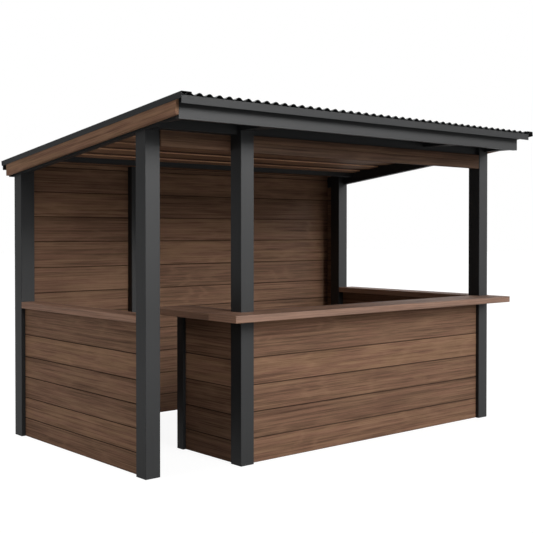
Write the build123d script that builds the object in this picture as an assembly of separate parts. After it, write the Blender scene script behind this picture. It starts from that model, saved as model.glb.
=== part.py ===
from build123d import *
import math
import os

os.makedirs("parts", exist_ok=True)

# Market stall, millimetres.  x is measured from the outer face of the left-hand
# posts, y from the front face of the counter posts and z from the ground.  The
# finished pieces are moved so that the origin is the middle of the roof's outline,
# on the ground: +X to the customer's right, +Y towards the back wall.

# plan
stall_width = 3480         # outer face to outer face of the posts
stall_depth = 2013         # front face of the counter posts to back of the back posts
post = 115                 # square posts
post_arris = 2
entrance_width = 584       # between the front left post and the counter's left post
entrance_setback = 127     # the front left post stands this far behind the counter posts
middle_post_gap = 915      # between the back left post and the back wall's middle post
right_post_setback = 175   # back right post, forward of the back posts' line
fit = 0.3                  # gap between pieces that meet

# heights
counter_height = 1067
top_thickness = 49
frame_height = 2303        # underside of the side rafters at y = 0
rafter_depth = 116
rafter_thickness = 45      # side rafters, let into the outer part of the posts' heads
eaves_lift = 19            # level underside of the front overhang, above frame_height
beam_drop = 11             # front beam's underside, below frame_height
beam_setback = 30          # front beam's face, behind the counter posts' faces
valance_depth = 121        # two boards below the front beam
valance_joint = 54         # from the beam down to the joint between them
entrance_lift = 14         # the entrance valance hangs this much higher

# woodwork
board = 25                 # low walls, barges and valances
wall_board = 30            # back wall
ceiling_board = 20
board_recess = 32          # low walls, behind the posts' outer faces
return_recess = 24
back_recess = 25           # back wall, inside the back posts' outer faces
ground_gap = 15            # under the back wall
batten_width = 45
batten_depth = 38
batten_distance = 374      # from the ceiling batten to the back wall post's back face
top_arris = 4
counter_overhang = 214     # in front of the counter posts
counter_left_overhang = 216
counter_right_overhang = 33
counter_bearing = 88       # how far the front top runs in behind the posts' faces
return_length = 697        # short leg of the top, from the front top to its back end
stub_post = 77             # short post under that leg
stub_inset = 23            # from the leg's back end to the short post
left_ledge_width = 155
right_ledge_outside = 75   # from the posts' outer faces to the right ledge's edge

# roof
roof_fall = 0.1165         # height lost per unit run, from the front to the back
overhang_left = 55
overhang_right = 154
overhang_front = 355
overhang_back = 117
wave_count = 47
wave_depth = 18
sheet_gauge = 1.0
sheet_inset = 2.5          # from the verge flashings' outer faces to the sheet's edges
flashing_gauge = 1.5
flashing_drop = 50         # face of the eaves flashings
flashing_set = 10          # eaves flashings' faces, in from the sheet's ends
drip = 9
drip_lift = 3
verge_cap = 74             # flat part of the verge flashings
verge_turn = 4
verge_drop = 14            # face of the verge flashings below the sheet's valleys
eaves_flashing_left = 7    # from the roof's left edge to the eaves flashings' end
eaves_flashing_right = 47

# fascias, barges and the arms of the front overhang
fascia_reach = 282         # front fascia's face, in front of the counter posts
fascia_thickness = 35
fascia_lip = 2             # front fascia hangs below the arms
fascia_right_reach = 30
barge_reach = 48           # left barge's outer face, outside the posts
barge_lift = 8             # barge boards' underside, above the rafters'
barge_back_reach = 47
packer_step = 12           # packer between rafter and barge, above the barge's underside
arm_right_distance = 715   # right-hand overhang arm to the right post's inner face

roof_left = -overhang_left
roof_right = stall_width + overhang_right
roof_front = -overhang_front
roof_back = stall_depth + overhang_back
origin = ((roof_left + roof_right) / 2, (roof_front + roof_back) / 2)
sheet_height = frame_height + rafter_depth
eaves_height = frame_height + eaves_lift
beam_bottom = frame_height - beam_drop
roof_seat = sheet_height - fit
rafter_seat = frame_height - fit
above_roof = 2 * sheet_height
ceiling_under = roof_seat - ceiling_board
counter_under = counter_height - top_thickness


def fall(height, y):
    """Height at y of a plane parallel to the roof, given its height at y = 0."""
    return height - roof_fall * y


def save(name, solid):
    """Move a piece to the common origin and write it."""
    solid = Pos(-origin[0], -origin[1], 0) * solid
    solid.label = name
    export_step(solid, f"parts/{name}.step")


def block(x, y, z):
    """Square-edged piece from its two ends along each axis."""
    size = (x[1] - x[0], y[1] - y[0], z[1] - z[0])
    return Pos((x[0] + x[1]) / 2, (y[0] + y[1]) / 2, (z[0] + z[1]) / 2) * Box(*size)


def side_profile(points, x):
    """Piece with a profile seen from the side, as (y, z) points, between two x positions."""
    face = Plane.YZ.offset(x[0]) * make_face(Polyline(*points, close=True))
    return extrude(face, x[1] - x[0])


def sloped_top(x, y, bottom, top):
    """Upright piece with a level foot and its head cut to the roof's fall."""
    foot = [(y[0], bottom), (y[1], bottom)]
    head = [(y[1], fall(top, y[1])), (y[0], fall(top, y[0]))]
    return side_profile(foot + head, x)


def sloped_board(x, y, bottom, top):
    """Piece along the roof's fall between two heights given at y = 0."""
    lower = [(y[0], fall(bottom, y[0])), (y[1], fall(bottom, y[1]))]
    upper = [(y[1], fall(top, y[1])), (y[0], fall(top, y[0]))]
    return side_profile(lower + upper, x)


def square_post(x, y, top):
    """Post with its head cut to the roof's fall and its long arrises taken off."""
    timber = sloped_top(x, y, 0, top)
    return chamfer(timber.edges().filter_by(Axis.Z), post_arris)


def corner_post(x, y, top, rafter_x):
    """Post that stands beside a side rafter and is cut down under it."""
    above_seat = (y[0] - fit, y[1] + fit)
    room_x = (rafter_x[0] - fit, rafter_x[1] + fit)
    return square_post(x, y, top) - sloped_board(room_x, above_seat, rafter_seat, above_roof)


# posts, full height to the pieces that they carry
left_x = (0, post)
right_x = (stall_width - post, stall_width)
left_rafter_x = (0, rafter_thickness)
right_rafter_x = (stall_width - rafter_thickness, stall_width)
counter_x = (post + entrance_width, 2 * post + entrance_width)
middle_x = (post + middle_post_gap, 2 * post + middle_post_gap)
entrance_y = (entrance_setback, entrance_setback + post)
counter_y = (0, post)
back_y = (stall_depth - post, stall_depth)
right_back_y = (back_y[0] - right_post_setback, back_y[1] - right_post_setback)
ceiling_seat = ceiling_under - fit
save("post_front_left", corner_post(left_x, entrance_y, ceiling_seat, left_rafter_x))
save("post_front_right", corner_post(right_x, counter_y, roof_seat, right_rafter_x))
save("post_back_left", corner_post(left_x, back_y, ceiling_seat, left_rafter_x))
save("post_back_middle", square_post(middle_x, back_y, roof_seat))
save("post_back_right", corner_post(right_x, right_back_y, ceiling_seat, right_rafter_x))

# the counter's left post keeps a tongue in front of the beam that sits on it
tongue_post = block(counter_x, counter_y, (0, eaves_height - fit))
tongue_post = chamfer(tongue_post.edges().filter_by(Axis.Z), post_arris)
beam_seat = block((0, stall_width), (beam_setback, 2 * post), (beam_bottom - fit, above_roof))
save("post_counter_left", tongue_post - beam_seat)

# roof frame
rafter_front = fascia_thickness - fascia_reach + fit
barge_back_y = stall_depth + barge_back_reach
rafter_back = barge_back_y - board - fit
frame_x = (left_rafter_x[1] + fit, right_rafter_x[0] - fit)
beam_x = (frame_x[0], right_x[0] - fit)
beam_y = (beam_setback, post)


def side_rafter(x):
    """Side rafter: parallel to the roof over the posts, level below in the front overhang."""
    points = [
        (rafter_front, eaves_height),
        (0, eaves_height),
        (0, frame_height),
        (rafter_back, fall(frame_height, rafter_back)),
        (rafter_back, fall(roof_seat, rafter_back)),
        (rafter_front, fall(roof_seat, rafter_front)),
    ]
    return side_profile(points, x)


save("left_rafter", side_rafter(left_rafter_x))
save("right_rafter", side_rafter(right_rafter_x))
save("front_beam", sloped_top(beam_x, beam_y, beam_bottom, roof_seat))

# arms that carry the overhang between the side rafters
arm_y = (rafter_front, beam_setback - fit)
arm_right_x = (right_x[0] - arm_right_distance, right_x[0] - arm_right_distance + post)
save("overhang_arm_left", sloped_top(counter_x, arm_y, eaves_height, roof_seat))
save("overhang_arm_right", sloped_top(arm_right_x, arm_y, eaves_height, roof_seat))

# back wall: boards on the inside of a rail, standing between the back posts
wall_y = (stall_depth - back_recess - wall_board, stall_depth - back_recess)
rail_y = (wall_y[1] + fit, stall_depth)
rail_bottom = fall(frame_height, stall_depth)
left_wall_x = (left_x[1] + fit, middle_x[0] - fit)
right_wall_x = (middle_x[1] + fit, frame_x[1])
corner_x = (right_rafter_x[0], right_rafter_x[0] + wall_board)
save("back_wall_left", sloped_top(left_wall_x, wall_y, ground_gap, roof_seat))
save("back_beam_left", sloped_top(left_wall_x, rail_y, rail_bottom, roof_seat))
save("back_beam_right", sloped_top(right_wall_x, rail_y, rail_bottom, roof_seat))
save("back_wall_right", sloped_top(right_wall_x, wall_y, ground_gap, roof_seat))
corner_y = (right_back_y[1] + fit, wall_y[1])
save("back_corner_panel", sloped_top(corner_x, corner_y, ground_gap, rafter_seat))

# boarded ceiling between the side rafters, with a batten across it
ceiling_y = (post + fit, wall_y[0] - fit)
ceiling = sloped_board(frame_x, ceiling_y, ceiling_under, roof_seat)
post_room = (middle_x[0] - fit, middle_x[1] + fit)
ceiling -= block(post_room, (back_y[0] - fit, stall_depth), (0, above_roof))
save("ceiling", ceiling)
batten_y = (stall_depth - batten_distance - batten_width, stall_depth - batten_distance)
batten_z = (ceiling_seat - batten_depth, ceiling_seat)
save("ceiling_batten", sloped_board(frame_x, batten_y, *batten_z))

# valances under the front beam, in the serving bay and in the entrance bay
serving_x = (counter_x[1] + fit, right_x[0] - fit)
serving_y = (beam_setback - fit - board, beam_setback - fit)
bay_x = (left_x[1] + fit, counter_x[1])
bay_y = (post + fit, post + fit + board)
valance_bottom = beam_bottom - valance_depth
joint_z = beam_bottom - valance_joint
upper_z = (joint_z, beam_bottom - fit)
lower_z = (valance_bottom, joint_z - fit)
save("valance_front_upper", block(serving_x, serving_y, upper_z))
save("valance_front_lower", block(serving_x, serving_y, lower_z))
bay_upper_z = (upper_z[0] + entrance_lift, upper_z[1] + 2 * entrance_lift)
bay_lower_z = (lower_z[0] + entrance_lift, lower_z[1] + entrance_lift)
save("valance_entrance_upper", block(bay_x, bay_y, bay_upper_z))
save("valance_entrance_lower", block(bay_x, bay_y, bay_lower_z))

# short post and leg of the counter
counter_left = counter_x[0] - counter_left_overhang
return_back = counter_bearing + return_length
stub_x = (counter_x[0], counter_x[0] + stub_post)
stub_y = (return_back - stub_inset - stub_post, return_back - stub_inset)
stub = block(stub_x, stub_y, (0, counter_under - fit))
save("post_counter_return", chamfer(stub.edges().filter_by(Axis.Z), post_arris))

# low walls
panel_z = (0, counter_under - fit)
panel_y = (board_recess, board_recess + board)
save("counter_front_panel", block(serving_x, panel_y, panel_z))
return_x = (counter_x[0] + return_recess, counter_x[0] + return_recess + board)
save("counter_return_panel", block(return_x, (post + fit, stub_y[0] - fit), panel_z))
left_wall_y = (entrance_y[1] + fit, back_y[0] - fit)
save("left_low_wall", block(panel_y, left_wall_y, panel_z))
right_wall_y = (post + fit, right_back_y[0] - fit)
right_panel_x = (stall_width - panel_y[1], stall_width - panel_y[0])
save("right_low_wall", block(right_panel_x, right_wall_y, panel_z))


def worktop(x, y, *posts):
    """Thick board with rounded long arrises, let in round the posts that pass it."""
    top = block(x, y, (counter_under, counter_height))
    long_axis = Axis.X if x[1] - x[0] > y[1] - y[0] else Axis.Y
    top = fillet(top.edges().filter_by(long_axis), top_arris)
    for px, py in posts:
        room = block((px[0] - fit, px[1] + fit), (py[0] - fit, py[1] + fit), (0, above_roof))
        top -= room
    return top


top_x = (counter_left, stall_width + counter_right_overhang)
top_y = (-counter_overhang, counter_bearing)
save("countertop_front", worktop(top_x, top_y, (counter_x, counter_y), (right_x, counter_y)))
leg_x = (counter_left, counter_x[1])
leg_y = (counter_bearing + fit, return_back)
save("countertop_return", worktop(leg_x, leg_y, (counter_x, counter_y)))
save("left_ledge", worktop((0, left_ledge_width), left_wall_y))
ledge_x = (right_x[0], stall_width + right_ledge_outside)
ledge_y = (counter_bearing + fit, right_back_y[0] - fit)
save("right_ledge", worktop(ledge_x, ledge_y, (right_x, counter_y)))

# fascias, barge boards and the packer behind the left barge
fascia_top = roof_seat - flashing_gauge - fit
fascia_x = (board + fit - barge_reach, stall_width + fascia_right_reach)
front_fascia_y = (-fascia_reach, fascia_thickness - fascia_reach)
save("front_fascia", sloped_top(fascia_x, front_fascia_y, eaves_height - fascia_lip, fascia_top))
back_fascia_y = (barge_back_y - board, barge_back_y)
back_fascia_bottom = fall(frame_height, barge_back_y)
save("back_fascia", sloped_top(fascia_x, back_fascia_y, back_fascia_bottom, fascia_top))
barge_bottom = frame_height + barge_lift
barge_y = (-fascia_reach, barge_back_y)
frame_y = (rafter_front, rafter_back)
save("left_barge", sloped_board((-barge_reach, board - barge_reach), barge_y, barge_bottom, fascia_top))
packer_x = (board + fit - barge_reach, -fit)
save("left_barge_packer", sloped_board(packer_x, frame_y, barge_bottom + packer_step, roof_seat))
right_barge_x = (stall_width + fit, stall_width + board)
save("right_barge", sloped_board(right_barge_x, frame_y, barge_bottom, roof_seat))

# The roof sheet's profile: an arc for every valley and crest, tangent where they meet.
half_wave = (roof_right - roof_left - 2 * sheet_inset) / (2 * wave_count)
half_depth = wave_depth / 2
wave_radius = (half_wave ** 2 / 4 + half_depth ** 2) / wave_depth
wave_angle = math.asin(half_wave / 2 / wave_radius)
crest = wave_depth + sheet_gauge
slope_length = math.hypot(1, roof_fall)


def wave_arc(index, reach):
    """One half wave, its skin lifted off the sheet's middle by reach."""
    up = 1 if index % 2 else -1
    bend = wave_radius + up * reach
    x = roof_left + sheet_inset + (index + 0.5) * half_wave
    z = crest / 2 - up * (wave_radius - half_depth)
    dx = bend * math.sin(wave_angle)
    end = z + up * bend * math.cos(wave_angle)
    return ThreePointArc((x - dx, end), (x, z + up * bend), (x + dx, end))


def along_roof(profile, crown):
    """Extrude a profile drawn square to the slope from the roof's front edge to its back.

    The crown is the profile's height, which leans past the back edge and is allowed for.
    """
    start = (0, roof_front, fall(sheet_height, roof_front))
    plane = Plane(origin=start, x_dir=(1, 0, 0), z_dir=(0, -1, roof_fall))
    run = roof_back - roof_front - crown * roof_fall / slope_length
    return extrude(plane * profile, -run * slope_length)


upper_skin = [wave_arc(i, sheet_gauge / 2) for i in range(2 * wave_count)]
lower_skin = [wave_arc(i, -sheet_gauge / 2) for i in range(2 * wave_count)]
left_end = Line(upper_skin[0] @ 0, lower_skin[0] @ 0)
right_end = Line(upper_skin[-1] @ 1, lower_skin[-1] @ 1)
sheet_profile = make_face(upper_skin + lower_skin + [left_end, right_end])
save("roof_sheet", along_roof(sheet_profile, crest))


def folded(points, outside):
    """Section of a strip of sheet metal whose inner surface follows a line of points."""
    return make_face(offset(Polyline(*points), amount=flashing_gauge, side=outside))


def eaves_flashing(face_y, flange_y, outside):
    """Apron with a drip fold at its foot and a flange that runs back under the sheet."""
    turn = math.copysign(1, flange_y - face_y)
    top = roof_seat - flashing_gauge
    inner_y = face_y + turn * flashing_gauge
    foot = fall(top, face_y) - flashing_drop + flashing_gauge
    points = [
        (inner_y + turn * drip, foot + drip_lift),
        (inner_y, foot),
        (inner_y, fall(top, inner_y)),
        (flange_y, fall(top, flange_y)),
    ]
    span = roof_right - eaves_flashing_right - roof_left - eaves_flashing_left
    plane = Plane.YZ.offset(roof_left + eaves_flashing_left)
    return extrude(plane * folded(points, outside), span)


def verge_flashing(edge, inward, outside):
    """Cap over the sheet's outermost crest with a face that covers the barge board's top."""
    cap = crest + fit
    inner = edge + inward * flashing_gauge
    points = [
        (inner + inward * (verge_cap + verge_turn), cap - verge_turn),
        (inner + inward * verge_cap, cap),
        (inner, cap),
        (inner, -verge_drop),
        (inner + inward * verge_turn, -verge_drop - verge_turn),
    ]
    return along_roof(folded(points, outside), cap + flashing_gauge)


front_flange = fascia_thickness - fascia_reach
front_face = roof_front + flashing_set
back_face = roof_back - flashing_set
save("front_flashing", eaves_flashing(front_face, front_flange, Side.LEFT))
save("back_flashing", eaves_flashing(back_face, back_fascia_y[0], Side.RIGHT))
save("left_verge_flashing", verge_flashing(roof_left, 1, Side.RIGHT))
save("right_verge_flashing", verge_flashing(roof_right, -1, Side.LEFT))
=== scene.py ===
import math

import bpy
import numpy as np
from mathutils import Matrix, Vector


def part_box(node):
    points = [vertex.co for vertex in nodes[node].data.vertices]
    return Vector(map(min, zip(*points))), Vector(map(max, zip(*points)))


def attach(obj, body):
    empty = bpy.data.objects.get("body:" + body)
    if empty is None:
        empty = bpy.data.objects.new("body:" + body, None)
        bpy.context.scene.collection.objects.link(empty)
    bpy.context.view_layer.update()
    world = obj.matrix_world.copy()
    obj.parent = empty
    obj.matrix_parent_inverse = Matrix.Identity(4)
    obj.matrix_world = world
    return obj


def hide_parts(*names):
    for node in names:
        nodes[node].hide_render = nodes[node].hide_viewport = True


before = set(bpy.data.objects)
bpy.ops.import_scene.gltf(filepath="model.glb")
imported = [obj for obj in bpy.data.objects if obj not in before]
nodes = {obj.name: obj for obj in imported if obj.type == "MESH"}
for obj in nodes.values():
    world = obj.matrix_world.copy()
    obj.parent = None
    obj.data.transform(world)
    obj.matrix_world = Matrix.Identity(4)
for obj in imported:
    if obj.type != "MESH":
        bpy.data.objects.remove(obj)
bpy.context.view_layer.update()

# Places are in metres: X to the customer's right, Y towards the back wall, Z up
AXES = np.eye(3)
X, Y, Z = AXES
MILLIMETRES = 1000                  # in a metre
ROOF_FALL = 0.1165                  # height lost for each metre towards the back
DOWN_SLOPE = Y - ROOF_FALL * Z
UP_FROM_ROOF = Z + ROOF_FALL * Y


# Finishes
class Value:
    """A shader socket that takes part in arithmetic: each operation adds its Math node."""

    def __init__(self, finish, socket):
        self.finish, self.socket = finish, socket

    def __add__(self, other):
        return self.finish.maths("ADD", self, other)

    def __sub__(self, other):
        return self.finish.maths("SUBTRACT", self, other)

    def __rsub__(self, other):
        return self.finish.maths("SUBTRACT", other, self)

    def __mul__(self, other):
        return self.finish.maths("MULTIPLY", self, other)

    def __pow__(self, other):
        return self.finish.maths("POWER", self, other)

    __radd__ = __add__
    __rmul__ = __mul__


class Finish:
    """The nodes that make one material, or the world, in a tree that starts empty."""

    def __init__(self, owner):
        owner.use_nodes = True
        self.owner, self.tree = owner, owner.node_tree
        self.tree.nodes.clear()

    def add(self, kind, settings, sockets, out=0):
        """A node of any kind: its settings first, then the values or links of its sockets."""
        node = self.tree.nodes.new(kind)
        for key, value in settings.items():
            setattr(node, key, value)
        for key, value in sockets.items():
            if isinstance(value, Value):
                self.tree.links.new(value.socket, node.inputs[key])
            else:
                node.inputs[key].default_value = value
        return Value(self, node.outputs[out]) if len(node.outputs) else node

    def maths(self, operation, *values):
        return self.add("ShaderNodeMath", {"operation": operation}, dict(enumerate(values)))

    def attribute(self, name, out):
        return self.add("ShaderNodeAttribute", {"attribute_name": name}, {}, out)

    def noise(self, place, rate, detail=2.0, roughness=0.5):
        """Noise that swings so often in a metre: one rate, or one for each axis to stretch it."""
        if np.ndim(rate):
            place = self.add("ShaderNodeVectorMath", {"operation": "MULTIPLY"}, {0: place, 1: rate})
            rate = 1.0
        sockets = {"Vector": place, "Scale": rate, "Detail": detail, "Roughness": roughness}
        return self.add("ShaderNodeTexNoise", {}, sockets, "Fac")

    def ease(self, value, low, high, top=1.0):
        """The value carried smoothly from the range low to high to the range 0 to top."""
        settings = {"interpolation_type": "SMOOTHSTEP"}
        sockets = {"Value": value, "From Min": low, "From Max": high, "To Max": top}
        return self.add("ShaderNodeMapRange", settings, sockets)

    def mix(self, share, first, second, blend="MIX"):
        settings = {"data_type": "RGBA", "blend_type": blend}
        return self.add("ShaderNodeMix", settings, {0: share, 6: first, 7: second}, 2)

    def close(self, colour, roughness, height, relief, strength, specular):
        """Ends the tree in a Principled shader. Its bump is the height times the relief in metres."""
        bump = {"Height": height, "Distance": relief, "Strength": strength}
        sockets = {"Base Color": colour, "Roughness": roughness, "Specular IOR Level": specular,
                   "Normal": self.add("ShaderNodeBump", {}, bump)}
        shader = self.add("ShaderNodeBsdfPrincipled", {}, sockets)
        self.add("ShaderNodeOutputMaterial", {}, {"Surface": shader})
        return self.owner


def rgb(red, green, blue):
    """Linear colour from the 0 to 255 values that it shows as, by the usual display curve."""
    level = [c / 255 for c in (red, green, blue)]
    return [c / 12.92 if c < 0.04045 else ((c + 0.055) / 1.055) ** 2.4 for c in level] + [1.0]


# The wood's figures: how often each noise swings in a metre along, across and through a board
WAVER = (2.2, 16.0, 16.0)           # how far the rings stray
DRIFT = (0.8, 1.0, 1.0)             # how deep the heart lies
FIBRE = (3.0, 150.0, 150.0)
STREAK = (0.9, 60.0, 60.0)
PATCH = (1.4, 9.0, 9.0)
HUE = (2.7, 24.0, 24.0)
FIGURED = (2.2, 8.0, 8.0)           # where the rings show at all
PORE = (16.0, 520.0, 520.0)
WAVER_REACH, DRIFT_REACH = 0.03, 0.17
RING_TURNS = 330.0                  # radians of the rings' sine for each metre from the heart
RING_SHARE, PORE_SHARE = 0.34, 0.35
ROSY_SHARE, GOLDEN_SHARE = 0.55, 0.28
PLAIN_LEVEL, TONE_SPREAD, JOINT_SHADE = 0.86, 0.24, 0.65


def oiled_wood(name, pale, deep, rosy, golden, specular):
    """Sawn and oiled board, from its own grain coordinates (along, across, through).

    A growth ring's distance from the heart is the root of (across)² + (depth)², and the depth
    drifts slowly along the board, so the rings close in nested arches where it turns. The cube
    of a sine of that distance gives thin pale rings, in figured places only. Stretched noise
    gives the long streaks, the fibres and the pores. Last, the colour is multiplied by
    (plain level + spread·tone)·(1 - shade·joint). The tone is the board's own random tone plus,
    on some boards, painted shade or painted light. The joint darkens the joints, and a joint
    below nil paints a highlight.
    """
    wood = Finish(bpy.data.materials.new(name))
    grain = wood.attribute("grain", "Vector")
    tone = wood.attribute("tone", "Fac")
    joint = wood.attribute("joint", "Fac")
    across, through = (wood.add("ShaderNodeSeparateXYZ", {}, {0: grain}, axis) for axis in "YZ")

    waver = wood.noise(grain, WAVER, 3.0, 0.6)
    depth = (wood.noise(grain, DRIFT, 1.0) - 0.5) * DRIFT_REACH + through
    heart = (across * across + depth * depth) ** 0.5 + (waver - 0.5) * WAVER_REACH
    rings = (wood.maths("SINE", heart * RING_TURNS) * 0.5 + 0.5) ** 3.0
    figured = wood.ease(wood.noise(grain, FIGURED, 1.0), 0.46, 0.60)
    fibre = wood.noise(grain, FIBRE, 4.0, 0.65)
    streak = wood.noise(grain, STREAK, 4.0, 0.66)
    pores = wood.ease(wood.noise(grain, PORE), 0.60, 0.70)
    hue = wood.noise(grain, HUE)

    shade = wood.ease(streak * 0.50 + fibre * 0.34 + wood.noise(grain, PATCH) * 0.16, 0.34, 0.70)
    turned_rosy = wood.ease(hue, 0.38, 0.62, ROSY_SHARE)
    turned_golden = wood.ease(hue, 0.62, 0.42, GOLDEN_SHARE) * wood.ease(tone, 0.3, 1.0)
    base = wood.mix(shade, pale, deep)
    base = wood.mix(turned_rosy, base, wood.mix(shade, rosy, deep))
    base = wood.mix(turned_golden, base, golden)
    base = wood.mix(rings * figured * RING_SHARE, base, pale)
    base = wood.mix(pores * PORE_SHARE, base, deep)
    level = (tone * TONE_SPREAD + PLAIN_LEVEL) * (1 - joint * JOINT_SHADE)
    grey_level = wood.add("ShaderNodeCombineColor", {}, {0: level, 1: level, 2: level})
    base = wood.mix(1.0, base, grey_level, "MULTIPLY")

    roughness = 0.50 + fibre * 0.16
    height = fibre * 0.5 + rings * figured * 0.2 - pores * 0.3
    return wood.close(base, roughness, height, relief=0.0008, strength=0.3, specular=specular)


# How often the paint's noises swing in a metre: timber's grain, brush, clouds and rubbed spots
GRAIN_ALONG, GRAIN_ACROSS = 5.0, 170.0
BRUSH_RATE = 0.22                   # as a share of the grain's rates
PAINT_CLOUD, RUBBED = 2.2, 14.0
DULLED, RUBBED_SHARE = 0.75, 0.15


def painted_timber(name, axis, colour, worn):
    """Opaque paint over planed timber: faint grain along one axis, brush streaks, rubbed spots."""
    paint = Finish(bpy.data.materials.new(name))
    place = paint.add("ShaderNodeTexCoord", {}, {}, "Object")
    rates = [GRAIN_ALONG if k == axis else GRAIN_ACROSS for k in range(3)]
    grain = paint.noise(place, rates, 3.0, 0.55)
    brush = paint.noise(place, [rate * BRUSH_RATE for rate in rates])
    cloud = paint.noise(place, PAINT_CLOUD, 3.0, 0.6)
    spots = paint.ease(paint.noise(place, RUBBED, 4.0, 0.65), 0.66, 0.78)
    rubbed = spots * paint.ease(cloud, 0.45, 0.6)
    dull = [c * DULLED for c in colour[:3]] + [1.0]
    base = paint.mix(paint.ease(cloud * 0.6 + brush * 0.4, 0.3, 0.7), colour, dull)
    base = paint.mix(rubbed * RUBBED_SHARE, base, worn)
    roughness = 0.42 + grain * 0.10 + rubbed * 0.1
    height = grain * 0.6 + brush * 0.4
    return paint.close(base, roughness, height, relief=0.0006, strength=0.2, specular=0.35)


# How often the steel's noises swing in a metre: streaks along the slope, dust and clouds
WATER_STREAK, DUST, STEEL_CLOUD = (26.0, 1.1, 26.0), 60.0, 1.6
FILM_SHARE, DUST_SHARE = 0.3, 0.1


def coated_steel(name, colour):
    """Coated steel sheet: satin, with pale water streaks down the slope and fine dust."""
    steel = Finish(bpy.data.materials.new(name))
    place = steel.add("ShaderNodeTexCoord", {}, {}, "Object")
    streak = steel.noise(place, WATER_STREAK, 3.0, 0.6)
    dust = steel.noise(place, DUST, 4.0, 0.65)
    cloud = steel.noise(place, STEEL_CLOUD, 3.0, 0.6)
    film = steel.ease(streak * 0.6 + cloud * 0.4, 0.42, 0.72)
    base = steel.mix(film * FILM_SHARE, colour, rgb(52, 53, 53))
    base = steel.mix(steel.ease(dust, 0.6, 0.8) * DUST_SHARE, base, rgb(80, 78, 74))
    roughness = 0.40 + film * 0.14 + dust * 0.06
    return steel.close(base, roughness, dust, relief=0.0004, strength=0.12, specular=0.22)


BOARDS = oiled_wood("oiled_boards", pale=rgb(140, 108, 85), deep=rgb(72, 51, 38),
                    rosy=rgb(136, 99, 81), golden=rgb(136, 105, 78), specular=0.07)
TOPS = oiled_wood("worktop_boards", pale=rgb(158, 122, 101), deep=rgb(92, 65, 50),
                  rosy=rgb(153, 112, 88), golden=rgb(150, 115, 85), specular=0.3)
GREY, WORN = rgb(28, 29, 30), rgb(62, 61, 59)
PAINT = [painted_timber("dark_grey_paint_" + "xyz"[axis], axis, GREY, WORN) for axis in range(3)]
STEEL = coated_steel("dark_grey_coated_steel", rgb(38, 39, 40))
SCREW = coated_steel("screw_coating", rgb(30, 31, 32))


# Surfaces of the boards
def loft(rings, outward):
    """Closed skin: quads between neighbouring rings and one flat face on each end.

    Point (i, j) of the grid is joined to (i, j+1), (i+1, j+1) and (i+1, j), j taken round.
    """
    count, points = rings.shape[:2]
    i, j = np.meshgrid(np.arange(count - 1), np.arange(points), indexing="ij")
    a, b = i * points + j, i * points + (j + 1) % points
    quads = np.stack([a, b, b + points, a + points], -1).reshape(-1, 4)
    ends = np.stack([np.arange(points)[::-1], np.arange(points) + (count - 1) * points])
    turn = 1 if outward else -1
    return rings.reshape(-1, 3), quads[:, ::turn], ends[:, ::turn]


def plank_section(width, thick, arris):
    """Rectangle with its corners turned on quarter circles of the arris.

    Each row of a section is a place across, a place through and a share of joint shade, which
    is nil here. A corner's points are centre + arris·(cos(turn), sin(turn)).
    """
    quarter = np.radians([0, 45, 90])
    far, back = width - arris, thick - arris
    centres = [(far, arris, -90), (far, back, 0), (arris, back, 90), (arris, arris, 180)]
    turned = [np.stack([w + arris * np.cos(quarter + math.radians(start)),
                        t + arris * np.sin(quarter + math.radians(start))], -1) for w, t, start in centres]
    return np.pad(np.concatenate(turned), ((0, 0), (0, 1)))


def tongue_section(width, thick, top, gap=0.004, bevel=0.003, tongue=0.010, slack=0.0006):
    """Board with a groove below and, unless it is the top one, a tongue above. The joint shade
    is full on the tongue and the groove and fades out over the bevels."""
    edge, third = width - (0 if top else gap), thick / 3
    lower = [(bevel, 0, 0), (edge - bevel, 0, 0), (edge, bevel, 1)]
    if not top:
        tip, face, back = edge + tongue, third + slack, 2 * third - slack
        lower += [(edge, face, 1), (tip, face, 1), (tip, back, 1), (edge, back, 1)]
    groove = tongue - gap + slack
    upper = [(edge, thick - bevel, 1), (edge - bevel, thick, 0), (bevel, thick, 0), (0, thick - bevel, 1),
             (0, 2 * third, 1), (groove, 2 * third, 1), (groove, third, 1), (0, third, 1), (0, bevel, 1)]
    return np.array(lower + upper)


HEART_PLACES = (-0.3, 1.3)          # where the heart may lie across a board, in widths
LOG_LENGTH, LOG_DEPTH = 60, 9       # metres of timber that each board's grain is taken from


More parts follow.
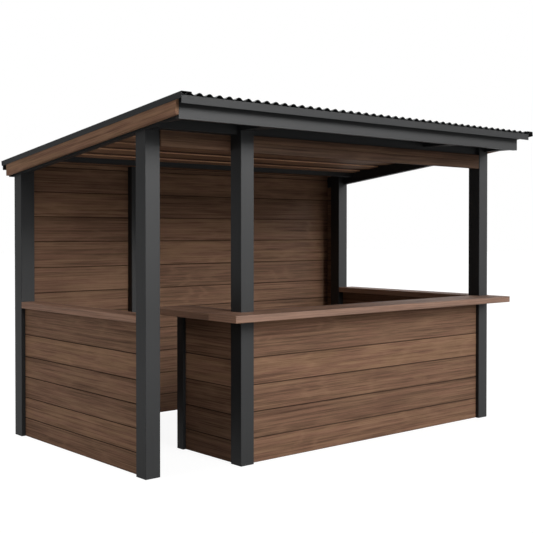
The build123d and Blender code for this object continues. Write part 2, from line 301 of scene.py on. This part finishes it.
class Joinery:
    """Boards gathered into one mesh, each with its grain coordinates and its own tone."""

    def __init__(self, name, seed, shade=0.0):
        self.name, self.draw, self.shade = name, np.random.default_rng(seed), shade
        self.points, self.faces, self.grain, self.tone, self.joint = [], [], [], [], []
        self.count = 0

    def board(self, origin, along, across, out, length, section, ends=0.0, far=None, mitre=0.0):
        """One board: origin + l·along + w·across + t·out, the section's points carried over l.

        The outline changes evenly from the section to the far one, if there is one. The end
        rings are drawn in by the easing of the ends, so that the ends are rounded. A mitred
        board starts at l = mitre·w and isn't drawn in there.
        """
        stations = np.array([0.0, ends, length - ends, length]) if ends else np.array([0.0, length])
        share = stations[:, None, None] / length
        joint = np.tile(section[:, 2], len(stations))
        section, far = section[:, :2], (section if far is None else far)[:, :2]
        outline = section * (1 - share) + far * share
        middle = (section.max(0) + section.min(0)) / 2
        size = section.max(0) - section.min(0)
        drawn = [-1] if mitre else [0, -1]
        outline[drawn] = middle + (outline[drawn] - middle) * (1 - 2 * ends / size)
        lengthwise = np.broadcast_to(stations[:, None, None], outline.shape[:2] + (1,))
        lengthwise = lengthwise + mitre * outline[:, :, :1] * (1 - share)
        local = np.concatenate([lengthwise, outline], -1)
        rings = np.asarray(origin) + local @ np.array([along, across, out])
        outward = np.linalg.det(np.array([across, out, along])) > 0
        points, quads, caps = loft(rings, outward)
        heart = size[0] * self.draw.uniform(*HEART_PLACES)
        shift = np.array([self.draw.uniform(0, LOG_LENGTH), -heart, self.draw.uniform(0, LOG_DEPTH)])
        self.points.append(points)
        self.faces += (quads + self.count).tolist() + (caps + self.count).tolist()
        self.grain.append(local.reshape(-1, 3) + shift)
        # the shade added to the random tone is painted shade or painted light on the ceiling, valance and
        # counter leg boards
        self.tone.append(np.full(len(points), self.draw.uniform() + self.shade))
        self.joint.append(joint)
        self.count += len(points)

    def plank(self, low, high, along, arris=0.004, mitre=0.0):
        """A board that fills a box, its long arrises and its ends rounded, or its near end mitred.
        It runs along axis 0 or 1, and its wider side is the one across."""
        across = 1 - along
        if high[2] - low[2] > high[across] - low[across]:
            across = 2
        out = 3 - along - across
        section = plank_section(high[across] - low[across], high[out] - low[out], arris)
        end_rounding = arris * 0.6
        self.board(low, AXES[along], AXES[across], AXES[out], high[along] - low[along], section,
                   end_rounding, mitre=mitre)

    def finish(self, material, slot, *replaced):
        mesh = bpy.data.meshes.new(self.name)
        mesh.from_pydata(np.concatenate(self.points).tolist(), [], self.faces)
        grain = mesh.attributes.new("grain", "FLOAT_VECTOR", "POINT")
        grain.data.foreach_set("vector", np.concatenate(self.grain).ravel())
        for name, values in (("tone", self.tone), ("joint", self.joint)):
            mesh.attributes.new(name, "FLOAT", "POINT").data.foreach_set("value", np.concatenate(values))
        return put(self.name, mesh, material, slot, *replaced)


def put(name, mesh, material, slot, *replaced):
    """The mesh as a piece of the stall, in place of the CAD nodes named."""
    piece = bpy.data.objects.new(name, mesh)
    bpy.context.scene.collection.objects.link(piece)
    mesh.materials.append(material)
    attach(piece, "root")
    if replaced:
        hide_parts(*replaced)
    return piece


def corners(node):
    """A node's lowest and highest corners as arrays."""
    low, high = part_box(node)
    return np.array(low), np.array(high)


# Walls: the heights of their boards' joints over the ground, in millimetres
FRONT_CUTS = [174, 361, 551, 741]
RETURN_CUTS = [158, 340, 534, 725]
SIDE_CUTS = [149, 311, 475, 636, 810]
CORNER_CUTS = [178, 371, 570, 775, 953, 1130, 1334, 1544, 1747, 1948]
BACK_CUTS = CORNER_CUTS + [2150]


def boarded_wall(name, node, along, cuts, seed, under_roof=False):
    """Level boards, one above another between the cuts, with their tongues up.

    Under the roof, the top board of a wall that runs back falls from its near end to its far
    one, and that of a wall along the stall is as high as the sheet allows over the wall's back.
    """
    low, high = corners(node)
    out = 1 - along
    run, depth = high[along] - low[along], high[out] - low[out]
    fall_along = ROOF_FALL * run if under_roof and along == 1 else 0.0
    fall_through = ROOF_FALL * depth if under_roof and along == 0 else 0.0
    edges = [low[2], *(cut / MILLIMETRES for cut in cuts), high[2] - fall_through]
    work = Joinery(name, seed)
    for below, above in zip(edges[:-1], edges[1:]):
        top = above == edges[-1]
        section = tongue_section(above - below, depth, top)
        far = tongue_section(above - below - fall_along, depth, top) if top else None
        work.board([low[0], low[1], below], AXES[along], Z, AXES[out], run, section, far=far)
    return work.finish(BOARDS, "oiled_boards", node)


boarded_wall("counter_front_boards", "counter_front_panel", along=0, cuts=FRONT_CUTS, seed=3)
boarded_wall("counter_return_boards", "counter_return_panel", along=1, cuts=RETURN_CUTS, seed=5)
boarded_wall("left_wall_boards", "left_low_wall", along=1, cuts=SIDE_CUTS, seed=7)
boarded_wall("right_wall_boards", "right_low_wall", along=1, cuts=SIDE_CUTS, seed=11)
boarded_wall("back_corner_boards", "back_corner_panel", along=1, cuts=CORNER_CUTS, seed=19, under_roof=True)
boarded_wall("back_wall_boards_left", "back_wall_left", along=0, cuts=BACK_CUTS, seed=13, under_roof=True)
boarded_wall("back_wall_boards_right", "back_wall_right", along=0, cuts=BACK_CUTS, seed=17, under_roof=True)


# Ceiling: boards along the stall, every second one set up against the roof sheet
CEILING_THICK, CEILING_STEP, CEILING_GAP, CEILING_ARRIS = 0.020, 0.009, 0.002, 0.0015
LOWER_WIDTH, UPPER_WIDTH, FIRST_WIDTH, LEAST_WIDTH = 0.132, 0.110, 0.062, 0.010
LOWER_PAINTED_LIGHT, UPPER_PAINTED_SHADE = 0.9, -2.1        # painted light on the lower boards, painted shade on the recessed upper ones
LIP_DEPTH, LIP_PAINTED_HIGHLIGHT = 0.001, -2.2          # below nil, joint shade lightens: a painted highlight on the lower boards' front edges
POST_ROOM = 0.001                           # between the boards' ends and the post that comes through


def boarded_ceiling(name, node, post, seed):
    """Boards laid side by side down the roof's slope, and broken where the post comes through."""
    low, high = corners(node)
    post_low, post_high = corners(post)
    work = Joinery(name, seed)
    place, wide, lower = low[1], FIRST_WIDTH, True
    while place < high[1] - LEAST_WIDTH:
        wide = min(wide, high[1] - place)
        thick = CEILING_THICK - (0 if lower else CEILING_STEP)
        base = high[2] - thick - ROOF_FALL * (place - low[1])
        section = plank_section(wide - CEILING_GAP, thick, CEILING_ARRIS)
        # painted highlight along each lower board's front edge
        if lower:
            section[section[:, 0] < LIP_DEPTH, 2] = LIP_PAINTED_HIGHLIGHT
        runs = [(low[0], high[0])]
        if place + wide > post_low[1]:
            runs = [(low[0], post_low[0] - POST_ROOM), (post_high[0] + POST_ROOM, high[0])]
        # painted light on a lower board or painted shade on an upper one, carried in the board's tone
        work.shade = LOWER_PAINTED_LIGHT if lower else UPPER_PAINTED_SHADE
        for start, end in runs:
            work.board([start, place + CEILING_GAP / 2, base], X, DOWN_SLOPE, Z, end - start, section)
        place, lower = place + wide, not lower
        wide = LOWER_WIDTH if lower else UPPER_WIDTH
    return work.finish(BOARDS, "oiled_boards", node)


boarded_ceiling("ceiling_boards", "ceiling", "post_back_middle", seed=23)


# Valance and barge boards, one to a node. The valance boards are darkened by painted shade from the roof's
# overhang, each by its own amount
TRIM_ARRIS, BARGE_END, BARGE_SHADE = 0.003, 0.002, 0.7
for node, seed, shade in (("valance_front_upper", 29, -2.0), ("valance_front_lower", 37, -2.7),
                          ("valance_entrance_upper", 41, -2.4), ("valance_entrance_lower", 43, -1.9)):
    # the valance board's shade is painted shade
    work = Joinery(node.replace("valance", "valance_board"), seed, shade)
    work.plank(*corners(node), along=0, arris=TRIM_ARRIS)
    work.finish(BOARDS, "oiled_boards", node)

for node, seed in (("left_barge", 47), ("right_barge", 53)):
    low, high = corners(node)
    run = high[1] - low[1]
    depth = high[2] - low[2] - ROOF_FALL * run
    section = plank_section(depth, high[0] - low[0], TRIM_ARRIS)
    work = Joinery(node + "_board", seed, BARGE_SHADE)
    work.board([low[0], low[1], high[2] - depth], DOWN_SLOPE, Z, X, run, section, BARGE_END)
    work.finish(BOARDS, "oiled_boards", node)


# Counter and ledges: boards side by side with hair joints, broken where the front posts stand
HAIR = 0.0012                       # joint between two boards
SEAT, FRONT_SEAT = 0.0004, 0.0008   # room beside or behind a post, and in front of it
# The leg's boards carry painted shade from the roof, and the mitred end board carries painted shade that
# runs on into it
COUNTER_SHADE, END_PAINTED_SHADE, RETURN_PAINTED_SHADE = -0.25, -1.0, -1.5
left_post_low, left_post_high = corners("post_counter_left")
right_post_low, right_post_high = corners("post_front_right")
behind_posts = right_post_high[1] + SEAT


def counter_top(name, node, seed):
    """The front board is mitred at its left end with one that runs back. Behind it come an inner
    board and a back row, which fills the three bays that the posts leave."""
    low, high = corners(node)
    before_posts = right_post_low[1] - FRONT_SEAT
    width = (before_posts - low[1]) / 2
    end_width = (left_post_low[0] - SEAT - low[0]) / 2
    middle, inside = low[1] + width, low[0] + end_width
    work = Joinery(name, seed, COUNTER_SHADE)
    work.plank(low, [high[0], middle - HAIR, high[2]], along=0, mitre=end_width / width)
    # painted shade on the mitred end board
    work.shade = END_PAINTED_SHADE
    work.plank(low, [inside - HAIR, high[1], high[2]], along=1, mitre=width / end_width)
    work.shade = COUNTER_SHADE
    work.plank([inside, middle, low[2]], [high[0], before_posts - HAIR, high[2]], along=0)
    starts = (inside, left_post_high[0], right_post_high[0])
    ends = (left_post_low[0], right_post_low[0], high[0])
    for start, end in zip(starts, ends):
        work.plank([start + SEAT, before_posts, low[2]], [end - SEAT, high[1], high[2]], along=0)
    return work.finish(TOPS, "worktop_timber", node)


def long_top(name, node, edges, starts, seed, shade=0.0):
    """Boards that run back, each between two of the edges across the top and from its own start."""
    low, high = corners(node)
    work = Joinery(name, seed, shade)
    for k, start in enumerate(starts):
        joint = HAIR if k < len(starts) - 1 else 0
        work.plank([edges[k], start, low[2]], [edges[k + 1] - joint, high[1], high[2]], along=1)
    return work.finish(TOPS, "worktop_timber", node)


counter_top("countertop_front_boards", "countertop_front", seed=59)

low, high = corners("countertop_return")
beside_post = left_post_low[0] - SEAT
edges = [low[0], (low[0] + beside_post) / 2, beside_post, high[0]]
starts = [low[1], low[1], behind_posts]
# painted shade on the leg's boards
long_top("countertop_return_boards", "countertop_return", edges, starts, seed=61, shade=RETURN_PAINTED_SHADE)

low, high = corners("left_ledge")
edges = [low[0], (low[0] + high[0]) / 2, high[0]]
long_top("left_ledge_boards", "left_ledge", edges, [low[1], low[1]], seed=67)

low, high = corners("right_ledge")
edges = [low[0], right_post_high[0] + SEAT, high[0]]
long_top("right_ledge_boards", "right_ledge", edges, [behind_posts, low[1]], seed=71)


# Roof screws on every third crest, in rows over the fascias, the beam and the batten
WAVES, SCREW_EVERY, CREST = 47, 3, 0.75     # a crest is three quarters along its wave
SCREW_ROWS = [-1.15, -0.81, 0.31, 0.74, 1.13]   # places along Y
WASHER_RADIUS, WASHER_RISE, WASHER_SUNK = 0.010, 0.002, 0.0006
HEAD_RADIUS, HEAD_RISE, HEAD_LIFT = 0.0055, 0.005, 0.0016


def roof_heads(name, centres, radius, rise, sides):
    """Low round heads that stand square on the roof, from rings at 0, 45 and 80 degrees of lift.

    A ring of a flattened half sphere is centre + radius·cos(lift)·(side·cos(turn) +
    other·sin(turn)) + rise·sin(lift)·normal, where side and other lie along the roof.
    """
    normal = UP_FROM_ROOF / np.linalg.norm(UP_FROM_ROOF)
    side = np.cross(normal, X)
    side /= np.linalg.norm(side)
    other = np.cross(normal, side)
    turn = np.arange(sides)[:, None] * 2 * math.pi / sides
    lift = np.radians([0, 45, 80])[:, None, None]
    around = np.cos(turn) * side + np.sin(turn) * other
    rings = radius * np.cos(lift) * around + rise * np.sin(lift) * normal
    points, quads, caps = loft(rings, outward=True)
    step = np.arange(len(centres))[:, None, None] * len(points)
    faces = (quads + step).reshape(-1, 4).tolist() + (caps + step).reshape(-1, sides).tolist()
    mesh = bpy.data.meshes.new(name)
    mesh.from_pydata((centres[:, None] + points).reshape(-1, 3).tolist(), [], faces)
    return put(name, mesh, SCREW, "roof_steel")


low, high = corners("roof_sheet")
wave = (high[0] - low[0]) / WAVES
crests = low[0] + (np.arange(0, WAVES, SCREW_EVERY) + CREST) * wave
screw_x, screw_y = np.meshgrid(crests, SCREW_ROWS)
screw_z = high[2] - ROOF_FALL * (screw_y - low[1]) - WASHER_SUNK
screws = np.stack([screw_x, screw_y, screw_z], -1).reshape(-1, 3)
roof_heads("roof_screw_washers", screws, WASHER_RADIUS, WASHER_RISE, sides=8)
roof_heads("roof_screw_heads", screws + Z * HEAD_LIFT, HEAD_RADIUS, HEAD_RISE, sides=6)


# Paint and steel on the nodes that stay as they are, with the paint's grain along each timber
UPRIGHT = ["post_front_left", "post_counter_left", "post_front_right", "post_back_left",
           "post_back_middle", "post_back_right", "post_counter_return"]
ALONG_SLOPE = ["left_rafter", "right_rafter", "overhang_arm_left", "overhang_arm_right",
               "left_barge_packer"]
LEVEL = ["front_beam", "back_beam_left", "back_beam_right", "front_fascia", "back_fascia", "ceiling_batten"]
METAL = ["roof_sheet", "front_flashing", "back_flashing", "left_verge_flashing", "right_verge_flashing"]
for names, finish in ((LEVEL, PAINT[0]), (ALONG_SLOPE, PAINT[1]), (UPRIGHT, PAINT[2]), (METAL, STEEL)):
    for name in names:
        nodes[name].data.materials.clear()
        nodes[name].data.materials.append(finish)


# Studio: a pale floor, a white surround and soft lamps
def seen_directly(finish, camera, gloss):
    """The camera's share for rays from the camera, and the gloss's for those from reflections
    or through glass."""
    kinds = ("Is Camera Ray", "Is Glossy Ray", "Is Transmission Ray")
    eye, shine, clear = (finish.add("ShaderNodeLightPath", {}, {}, kind) for kind in kinds)
    return finish.maths("MAXIMUM", eye * camera, finish.maths("MAXIMUM", shine, clear) * gloss)


def studio_floor(camera, gloss, glow):
    """Pale floor, seen as white where nothing shades it: its own shade mixed with a glow."""
    pale = Finish(bpy.data.materials.new("studio_floor"))
    shaded = pale.add("ShaderNodeBsdfDiffuse", {}, {"Color": rgb(210, 210, 210)})
    white = pale.add("ShaderNodeEmission", {}, {"Color": (1, 1, 1, 1), "Strength": glow})
    seen = pale.add("ShaderNodeMixShader", {}, {0: seen_directly(pale, camera, gloss), 1: shaded, 2: white})
    pale.add("ShaderNodeOutputMaterial", {}, {"Surface": seen})
    return pale.owner


def studio_world(strength, gloss):
    """White to the camera, and the given strength as light. The gloss is its share of white in
    reflections."""
    surround = Finish(bpy.data.worlds.new("studio"))
    light = surround.add("ShaderNodeBackground", {}, {"Color": (1, 1, 1, 1), "Strength": strength})
    white = surround.add("ShaderNodeBackground", {}, {"Color": (1, 1, 1, 1), "Strength": 1.0})
    share = seen_directly(surround, 1.0, gloss)
    seen = surround.add("ShaderNodeMixShader", {}, {0: share, 1: light, 2: white})
    surround.add("ShaderNodeOutputWorld", {}, {"Surface": seen})
    return surround.owner


def soft_light(name, bearing, elevation, energy, softness):
    """Distant lamp as wide as its softness, all in degrees. It comes from its elevation over the
    ground and from its bearing, counted from the front towards the right."""
    lamp = bpy.data.lights.new(name, "SUN")
    lamp.energy = energy
    lamp.angle = math.radians(softness)
    holder = bpy.data.objects.new(name, lamp)
    holder.rotation_euler = (math.radians(90 - elevation), 0, math.radians(bearing))
    bpy.context.scene.collection.objects.link(holder)
    return holder


FLOOR_REACH = 60.0
mesh = bpy.data.meshes.new("floor")
floor_corners = [(x * FLOOR_REACH, y * FLOOR_REACH, 0) for x, y in ((-1, -1), (1, -1), (1, 1), (-1, 1))]
mesh.from_pydata(floor_corners, [], [(0, 1, 2, 3)])
mesh.materials.append(studio_floor(camera=0.72, gloss=0.2, glow=1.28))
floor = bpy.data.objects.new("floor", mesh)
bpy.context.scene.collection.objects.link(floor)

bpy.context.scene.world = studio_world(strength=0.26, gloss=0.15)
soft_light("front_light", bearing=1, elevation=21, energy=2.25, softness=28)
sheen_light = soft_light("sheen_light", bearing=33, elevation=25, energy=3.4, softness=26)
sheen_light.visible_diffuse = False
soft_light("rear_light", bearing=150, elevation=35, energy=0.9, softness=40)
left_light = soft_light("left_light", bearing=-106, elevation=38, energy=0.82, softness=40)
left_light.visible_glossy = False


# Camera, at the photo's viewing angle
CAMERA_PLACE = (-5.2485, -6.0075, 1.620)
TURNED_RIGHT, TURNED_DOWN = 40.602, 0.873   # degrees
camera = bpy.data.cameras.new("camera")
camera.lens = 64.71
camera.sensor_width = 36
camera.shift_y = -0.0370
camera.clip_end = 200
eye = bpy.data.objects.new("camera", camera)
eye.location = CAMERA_PLACE
eye.rotation_euler = (math.radians(90 - TURNED_DOWN), 0, math.radians(-TURNED_RIGHT))
bpy.context.scene.collection.objects.link(eye)
bpy.context.scene.camera = eye
bpy.context.scene.view_settings.view_transform = "Standard"
